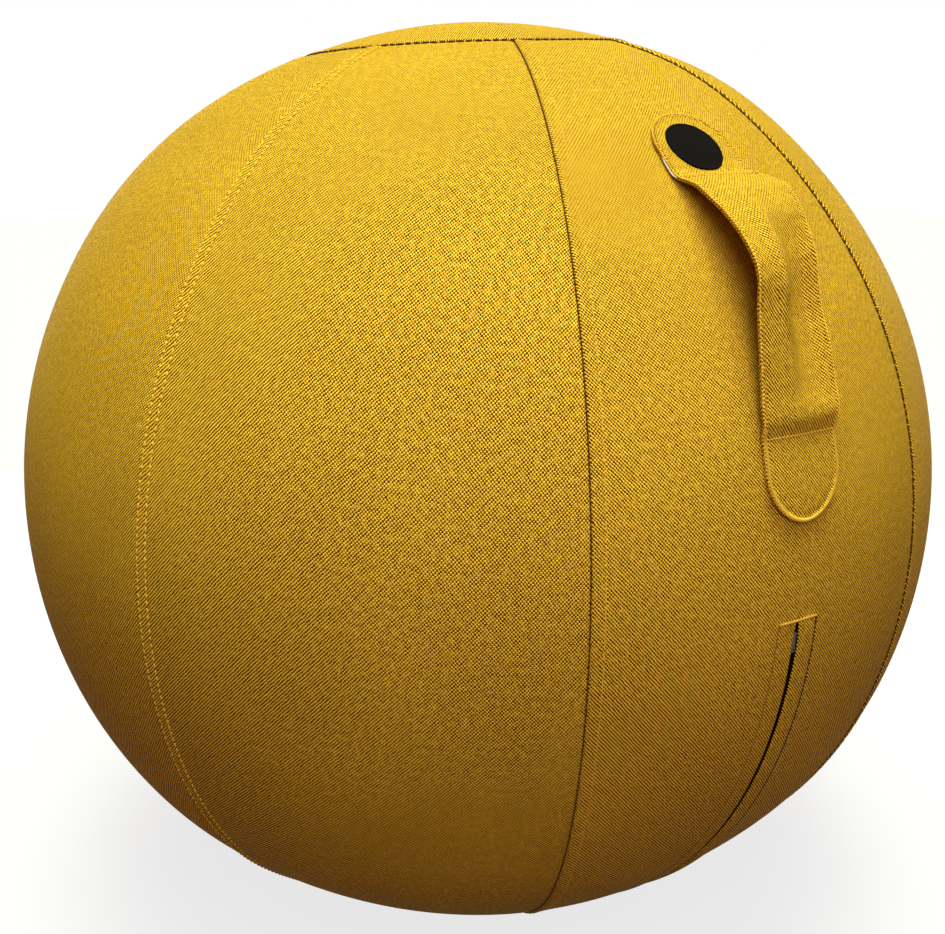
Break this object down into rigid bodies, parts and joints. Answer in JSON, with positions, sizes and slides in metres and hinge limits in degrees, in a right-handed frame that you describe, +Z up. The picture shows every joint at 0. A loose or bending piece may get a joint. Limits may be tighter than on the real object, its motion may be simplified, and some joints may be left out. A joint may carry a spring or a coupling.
{
  "type": "sitting ball",
  "caption": "Large air-filled ball to sit on, in a sewn woven cloth cover with a strap handle, a plain round badge and a zip.",
  "frame": {"origin": "middle of the flat patch on which the ball rests on the floor", "axes": "+Z up; the handle and the zip face -Y; +X is to the right of someone facing the handle"},
  "size_m": [0.65, 0.6519, 0.6277],
  "materials": {
    "cover_cloth": "mustard woven upholstery cloth",
    "interlining": "white felt interlining",
    "badge": "plain black matt patch",
    "zip_tape": "dark woven tape",
    "zip_coil": "dark nylon coil",
    "zip_metal": "dull grey zinc",
    "bladder": "grey soft PVC",
    "valve_plug": "white plastic"
  },
  "bodies": {
    "ball": {"front_panel": "cover_cloth", "front_right_panel": "cover_cloth", "right_panel": "cover_cloth", "rear_right_panel": "cover_cloth", "rear_panel": "cover_cloth", "rear_left_panel": "cover_cloth", "left_panel": "cover_cloth", "front_left_panel": "cover_cloth", "top_cap": "cover_cloth", "bottom_cap": "cover_cloth", "handle_strap": "cover_cloth", "handle_lining": "cover_cloth", "handle_core": "interlining", "handle_badge": "badge", "zip_tape_left": "zip_tape", "zip_tape_right": "zip_tape", "zip_coil_left": "zip_coil", "zip_coil_right": "zip_coil", "zip_top_stops": "zip_metal", "zip_bottom_stop": "zip_metal", "bladder": "bladder", "valve_seat": "bladder", "valve_plug": "valve_plug"},
    "slider": {"zip_slider": "zip_metal"},
    "pull": {"zip_pull": "zip_metal"}
  },
  "joints": [
    {"name": "zip_slide", "type": "hinge", "parent": "ball", "child": "slider", "pos_m": [0, -0.005, 0.30978], "axis": [1, 0, 0], "range_deg": [0, 56.1]},
    {"name": "zip_pull_swing", "type": "hinge", "parent": "slider", "child": "pull", "pos_m": [0, -0.32319, 0.29365], "axis": [-1, 0, 0], "range_deg": [0, 120]}
  ]
}
